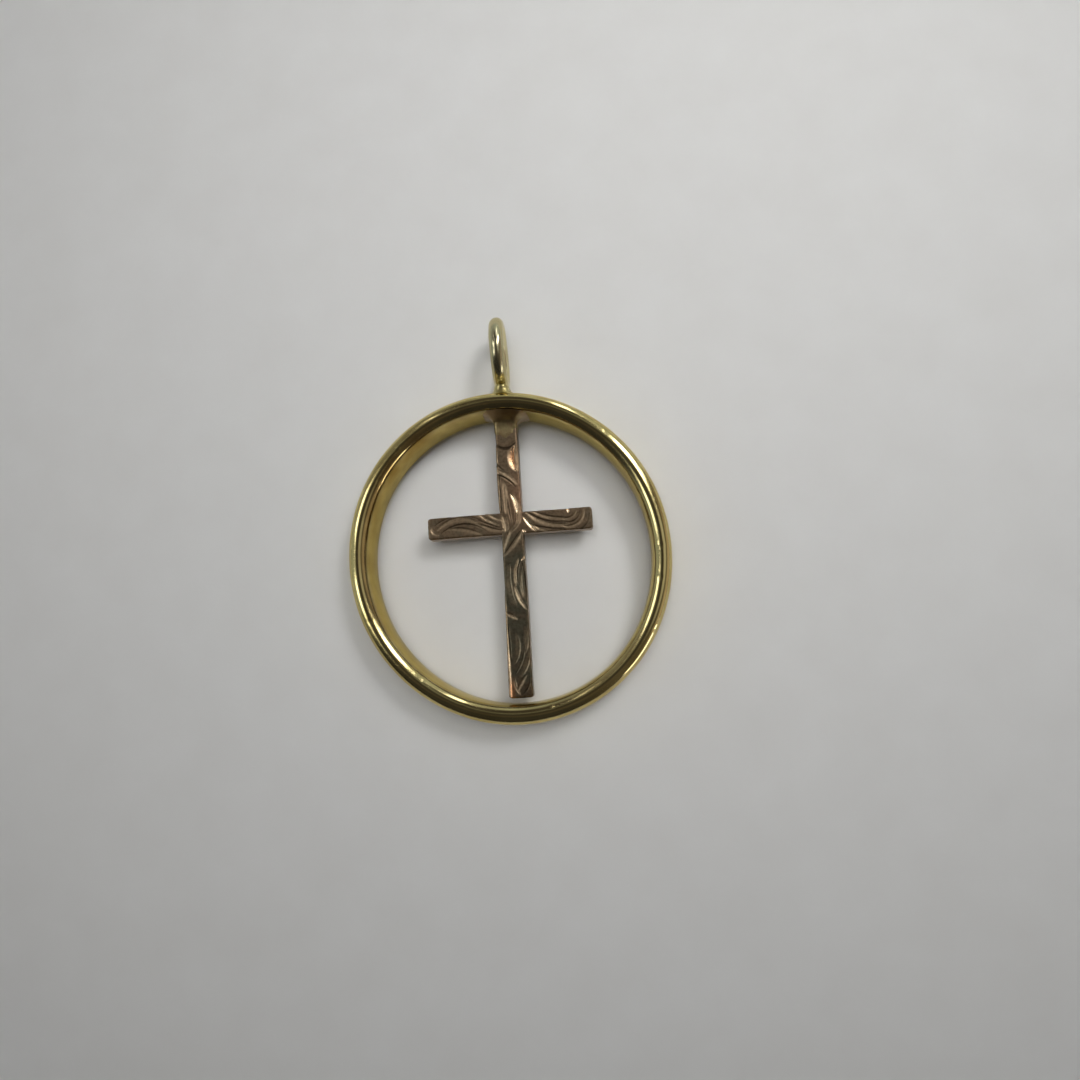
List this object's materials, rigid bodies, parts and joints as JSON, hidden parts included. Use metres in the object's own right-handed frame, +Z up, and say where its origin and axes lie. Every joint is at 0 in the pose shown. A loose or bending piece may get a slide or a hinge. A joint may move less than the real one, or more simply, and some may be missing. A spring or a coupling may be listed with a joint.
{
  "type": "cross pendant",
  "caption": "Round hoop pendant of rounded band with an engraved Latin cross soldered inside it and a round wire bail standing on top.",
  "frame": {"origin": "on the plane the pendant lies on, under the middle of its outline", "axes": "+Y from the foot of the cross towards the bail, +X to the right of the engraved face, +Z up out of the engraved face"},
  "size_m": [0.0208, 0.027, 0.005],
  "materials": {
    "hoop_gold": "polished yellow gold with fine wear",
    "cross_gold": "engraved rose gold, tarnished brown",
    "bail_gold": "polished pale yellow gold"
  },
  "bodies": {
    "root": {"hoop": "hoop_gold", "cross": "cross_gold", "bail": "bail_gold"}
  },
  "joints": []
}
